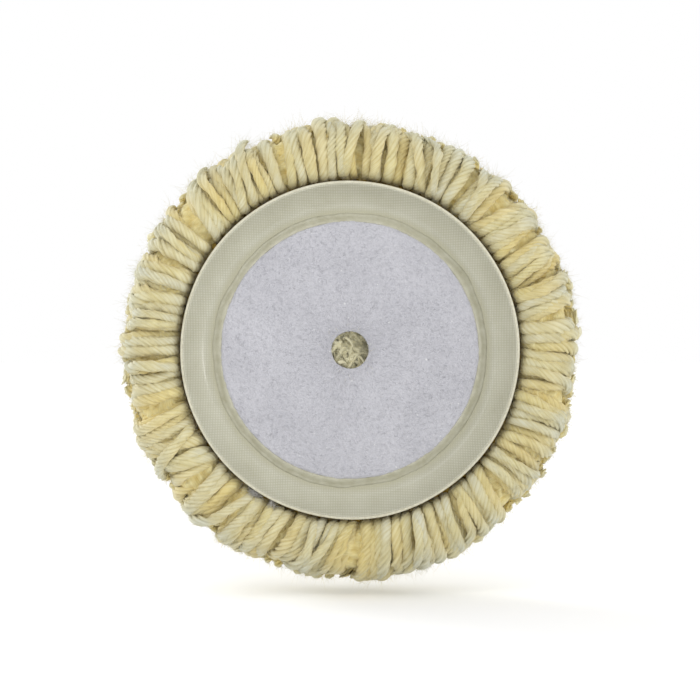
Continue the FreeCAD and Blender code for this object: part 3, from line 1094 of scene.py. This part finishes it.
def build_fringe(material):
    """The last row, whose yarns bend out from beside the lip and droop over the edge."""
    generator = np.random.default_rng(LOCK_SEED)
    centres, lock_swing, lock_pull, lock_lift, lock_length = fringe_locks(generator)
    for ending, count, rings, fibres, open_here, shift, jitter, loose, size, outline in FRINGE:
        t = ring_places(rings, 0.95)
        turn = (np.arange(count) + shift + generator.normal(0, jitter, count)) / count * TAU
        lock, inside, edge = place_in_lock(turn, centres)
        gather = inside * lock_pull[lock]
        swing = fringe_sweep(turn, np.random.default_rng(78)) + lock_swing[lock]
        swing = swing + generator.normal(0, loose, count)
        lift = lock_lift[lock] + generator.normal(0, 0.85, count) - 1.2 * edge
        longer = lock_length[lock] + generator.normal(0, 1.0, count)
        controls = fringe_controls(outline, turn, swing, gather, lift, longer, generator)
        paths = bezier(controls, t)
        side = sideways(turn)
        sway = generator.normal(0, 0.6 * MM, (count, 1))
        curl = generator.uniform(5, 10, (count, 1))
        wave = sway * np.sin(t * curl + generator.uniform(0, TAU, (count, 1)))
        paths = paths + (wave * np.sin(t * math.pi * 0.5))[..., None] * side[:, None]
        width = size * generator.uniform(0.82, 1.12, (count, 1))
        knob = 0.16 * np.exp(-(((t - 0.16) / 0.10) ** 2))
        radii = width * (2.02 + 0.85 * np.clip(t / 0.8, 0, 1) + knob) * MM
        paths, radii = round_tip(paths, radii, np.full(count, 0.9))
        azimuth = np.arctan2(paths[..., 2], paths[..., 0])
        ring = np.ones(azimuth.shape)
        cradle = to_space(CRADLE[0] * ring, CRADLE[1] * ring, azimuth)
        # Painted shade: darker at the locks' edges, near the middle of the yarns and on the lower
        # yarns, and paler on the higher ones; washed_out paints a wash of light on the ends.
        golden = 0.35 * edge[:, None] * np.sin(t * math.pi)
        along = 0.98 - 0.22 * np.exp(-(((t - 0.55) / 0.2) ** 2))
        openness = open_here * along * (1 - golden)
        openness = np.clip(openness * (0.97 + 0.04 * lift)[:, None], 0.1, 1)
        teased = np.clip((t - 0.25) / 0.55, 0, 1)
        name = f"_{ROW_COUNT:02d}{ending}"
        piece, frames = yarn_mesh(
            "wool_yarn" + name, paths, radii, side, 24, openness, 0.10 + 0.20 * teased,
            0.04 + 0.13 * teased, (0.66, 0.92), unit(paths - cradle), FRINGE_PLIES, FRINGE_LAY,
            unwind=0.38, washed_out=0.8 * np.clip((t - 0.3) / 0.5, 0, 1),
        )
        finish_wool(piece, material, *([] if ending else [ROW_NAMES[-1]]))
        fuzz = fuzz_mesh(
            "wool_fuzz" + name, frames, fibres, FRINGE_FUZZ_LENGTH, generator,
            from_tip=0.8, follow=0.88,
        )
        finish_wool(fuzz, material)


def build_tangle(material):
    """The wool that shows in the centring hole: matted short ends that lie all ways."""
    generator = np.random.default_rng(15)
    count, rings = 220, 16
    t = ring_places(rings, 1.0)
    back = RECESS_FLOOR - CLOTH_OUT
    deep = np.linspace(0, 1, count)
    reach = (HOLE_RADIUS + 0.8 * MM) * np.sqrt(generator.uniform(0, 1, count))
    turn = generator.uniform(0, TAU, count)
    sunk = 4.5 * np.clip(np.cos(turn - 3.0), 0, 1) ** 2 * (reach / HOLE_RADIUS) ** 2
    middle = to_space(reach, back + (3.4 - 7.5 * deep - sunk) * MM, turn)
    way = unit(generator.normal(0, 1, (count, 3)) * (1, 0.16, 1))
    half = generator.uniform(2.5, 5.0, (count, 1)) * MM
    bow = generator.normal(0, 2.0 * MM, (count, 3)) * (1, 0.3, 1)
    paths = bezier([middle - way * half, middle + bow, middle + way * half], t)
    radii = generator.uniform(0.7, 1.25, (count, 1)) * MM * np.ones((1, rings))
    paths, radii = round_tip(paths, radii, np.full(count, 0.8))
    side = unit(np.cross(way, generator.normal(0, 1, (count, 3))))
    # Painted shade: the deeper yarns in the hole are darker.
    openness = (1.0 - 0.15 * deep)[:, None] * np.ones((1, rings))
    piece, frames = yarn_mesh(
        "wool_tangle", paths, radii, side, 12, openness,
        np.full(rings, 0.12), np.full(rings, 0.10), (0.4, 0.8),
    )
    finish_wool(piece, material)
    fuzz = fuzz_mesh("wool_tangle_fuzz", frames, *TANGLE_FUZZ, generator, from_tip=0.8)
    finish_wool(fuzz, material)


FACE_STEPS, OVER_STEPS = 74, 34  # the undercoat's places under the face and the fringe
OVER_SPAN = (0.10, 0.90)  # the share of the fringe's curve that it lies under
UNDERCOAT_COLUMNS = 720
UNDERCOAT_FIBRES = 8000


def undercoat_outline():
    """The meridian of the felted wool between the yarns, a little way below their ends."""
    below, under_fringe = 2.2 * MM, 1.9 * MM
    s = np.linspace(4 * MM, FACE_RADIUS + SHOULDER_RADIUS * math.radians(82), FACE_STEPS)
    surface, normal = surface_point(s)
    face = surface - normal * below
    face[:, 1] += 8.0 * MM * np.exp(-((face[:, 0] / (6.2 * MM)) ** 2))
    crest = np.array(FRINGE[0][-1][::-1]) * MM
    over = bezier(crest[:, None], np.linspace(*OVER_SPAN, OVER_STEPS))[0]
    over = over - unit(over - np.array(CRADLE)) * under_fringe
    back = RECESS_FLOOR - CLOTH_OUT - 0.4 * MM
    inside = np.array([(70.0 * MM, back - 2.5 * MM), (62.0 * MM, back), (9.5 * MM, back)])
    return np.concatenate([face, over, inside])


def build_undercoat(material):
    """The felted wool that fills the pile between the yarns, with its own loose fibres."""
    generator = np.random.default_rng(33)
    columns = UNDERCOAT_COLUMNS
    outline = undercoat_outline()
    rows = len(outline)
    lumps = generator.normal(0, 1, (rows, columns))
    for axis in (0, 1, 1):
        lumps = (np.roll(lumps, 1, axis) + lumps + np.roll(lumps, -1, axis)) / 3
    lumps *= 0.55 * MM / lumps.std()
    along = unit(np.gradient(outline, axis=0))
    out = np.stack([along[:, 1], -along[:, 0]], -1)
    angle = circle(columns)
    centres, _, _, lock_lift, _ = fringe_locks(np.random.default_rng(LOCK_SEED))
    lock, _, edge = place_in_lock(angle, centres)
    lift = lock_lift[lock] - 1.2 * edge
    lift = sum(np.roll(lift, shift) for shift in range(-4, 5)) / 9 * MM
    bulge = np.zeros((rows, 1))
    bulge[-3 - OVER_STEPS:-3, 0] = np.sin(np.linspace(*OVER_SPAN, OVER_STEPS) * math.pi)
    radius = outline[:, :1] + out[:, :1] * lumps
    depth = outline[:, 1:] + out[:, 1:] * lumps + bulge * lift
    points = to_space(radius, depth, angle)
    wool = np.ones((rows, columns, 4))
    # Painted shade: the undercoat is golden by its depth in the pile, and nearer the machine side
    # it has a fixed golden shade, paler on the lumps that stand out.
    behind = depth > -8 * MM
    wool[..., 0] = np.where(behind, 0.60 + 0.08 * lumps / lumps.std(), pile_openness(points))
    wool[..., 1] = 0.2
    run = np.concatenate([[0], np.cumsum(np.linalg.norm(np.diff(outline, axis=0), axis=1))])
    grain = np.zeros((rows, columns, 3))
    grain[..., 0] = run[:, None] / MM * 0.2
    grain[..., 1] = angle * radius / MM
    piece = lathe("wool_undercoat", radius, depth, wool_attributes(wool, grain))
    finish_wool(piece, material)
    count = UNDERCOAT_FIBRES
    row = generator.integers(2, rows - 6, count)
    column = generator.integers(0, columns, count)
    start = points[row, column]
    way = generator.normal(0, 1.6 * MM, (count, 1, 3))
    bend = generator.normal(0, 0.8 * MM, (count, 1, 3))
    t = np.linspace(0, 1, 3)[None, :, None]
    lines = start[:, None] + way * t + bend * t * t
    shade = wool[row, column, 0] + 0.15
    fuzz = fibre_mesh("wool_undercoat_fuzz", lines, FIBRE_RADIUS, generator, openness=shade)
    finish_wool(fuzz, material)


def build_wool():
    """All the wool: the rows, the fringe, and what fills the hole and the gaps."""
    material = wool_material()
    build_rows(material)
    # The fringe has a darker copy of the wool, painted shade that tones down the light on it.
    build_fringe(wool_material(0.89, crest=(0.64, 0.64, 0.51)))
    build_tangle(material)
    build_undercoat(material)


def lint_fluff():
    """Small tangles of grey lint caught beside the lip."""
    generator = np.random.default_rng(52)
    lines = []
    for turn, spread, count in ((5.30, 0.022, 110), (5.18, 0.010, 40)):
        angle = turn + generator.normal(0, spread, count)
        radius = LIP_RADIUS + generator.normal(1.2, 0.6, count) * MM
        start = to_space(radius, generator.uniform(3.2, 5.6, count) * MM, angle)
        way = generator.normal(0, 1.3 * MM, (count, 1, 3))
        curl = generator.normal(0, 1.1 * MM, (count, 1, 3))
        t = np.linspace(0, 1, 6)[None, :, None]
        lines.append(start[:, None] + way * t + curl * np.sin(t * 5))
    return fibre_mesh("lint_fluff", np.concatenate(lines), 0.05 * MM, generator, taper=0.3)


# ---------------------------------------------------------------- the pad


def meridian_length(out, end_angle):
    """The radius of the flat disc that a layer of the dish is cut from."""
    points = meridian(out, end_angle)
    return HOLE_RADIUS + np.linalg.norm(np.diff(points, axis=0), axis=1).sum()


def build_back():
    """The dish, its layers and the loop facing glued into it."""
    loop_cloth = loop_material()
    facing = finish_piece(loop_disc(), loop_cloth, "brushed_loop", "loop_facing")
    nap = finish_piece(loop_nap(), loop_cloth, "brushed_loop")
    finish_piece(adhesive_bead(), adhesive_material(), "clear_adhesive", "facing_adhesive")
    liner = finish_piece(
        dish_layer("dish_liner", 0, LINER, LIP_ANGLE, 0.18 * MM, 5),
        liner_material(), "coated_weave", "cup_liner",
    )
    finish_piece(
        dish_layer("dish_core", LINER, LINER + CORE, LIP_ANGLE, 0.18 * MM, 5),
        core_material(), "moulded_core", "cup_core",
    )
    finish_piece(
        dish_layer("latex_layer", LINER + CORE, CLOTH_OUT - CLOTH, BOND_ANGLE, 0.1 * MM, 6),
        latex_material(), "bonding_latex", "bonding_layer",
    )
    cloth = finish_piece(
        dish_layer("woven_cloth", CLOTH_OUT - CLOTH, CLOTH_OUT, CLOTH_ANGLE, 0.1 * MM, 7),
        cloth_material(), "backing_cloth", "tufting_cloth",
    )
    finish_wool(lint_fluff(), lint_material())
    meridian_length(0, LIP_ANGLE)
    meridian_length(CLOTH_OUT, CLOTH_ANGLE)


build_wool()
build_back()

# ---------------------------------------------------------------- floor, light and camera

CAMERA_PLACE, CAMERA_LENS = (0, 0.72, 0), 85
FLOOR_REACH = 12.0


def floor():
    """A plain pale floor that the pad's edge touches."""
    mesh = bpy.data.meshes.new("floor")
    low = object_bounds()[0].z
    signs = ((-1, -1), (1, -1), (1, 1), (-1, 1))
    corners = [(x * FLOOR_REACH, y * FLOOR_REACH, low) for x, y in signs]
    mesh.from_pydata(corners, [], [(0, 1, 2, 3)])
    piece = add_object("floor", mesh)
    n = Nodes("floor", Roughness=0.9, Base_Color=(*grey(0.97), 1), Specular_IOR_Level=0.0)
    mesh.materials.append(n.material)
    piece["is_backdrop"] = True


def aim(thing, place):
    """Puts a light or camera at a place and turns it to the origin."""
    thing.location = place
    thing.rotation_mode = "QUATERNION"
    thing.rotation_quaternion = Vector(place).to_track_quat("Z", "Y")


def add_light(name, kind, place, **settings):
    """A light at a place, or for a sun from that side, that shines at the pad."""
    data = bpy.data.lights.new(name, kind)
    for key, value in settings.items():
        setattr(data, key, value)
    aim(add_object(name, data), place)


def stage_and_camera():
    """The floor, a white world, soft lights and the camera straight behind the pad."""
    floor()
    scene = bpy.context.scene
    scene.view_settings.view_transform = "Standard"
    world = bpy.data.worlds.new("studio")
    world.use_nodes = True
    background = world.node_tree.nodes["Background"]
    background.inputs["Color"].default_value = (*grey(1.0), 1)
    background.inputs["Strength"].default_value = 1.0
    scene.world = world
    soft = math.radians(22)
    add_light("key_back", "SUN", (-0.88, 0.47, 0.02), energy=1.2, angle=soft)
    add_light("key_front", "SUN", (0.70, -0.62, 0.30), energy=1.7, angle=soft)
    add_light("fill_back", "AREA", (0.35, 0.45, 0.35), energy=0.8, shape="DISK", size=0.4)
    camera_data = bpy.data.cameras.new("camera")
    camera_data.lens = CAMERA_LENS
    camera_data.clip_start = 0.01
    scene.camera = add_object("camera", camera_data)
    aim(scene.camera, CAMERA_PLACE)


stage_and_camera()
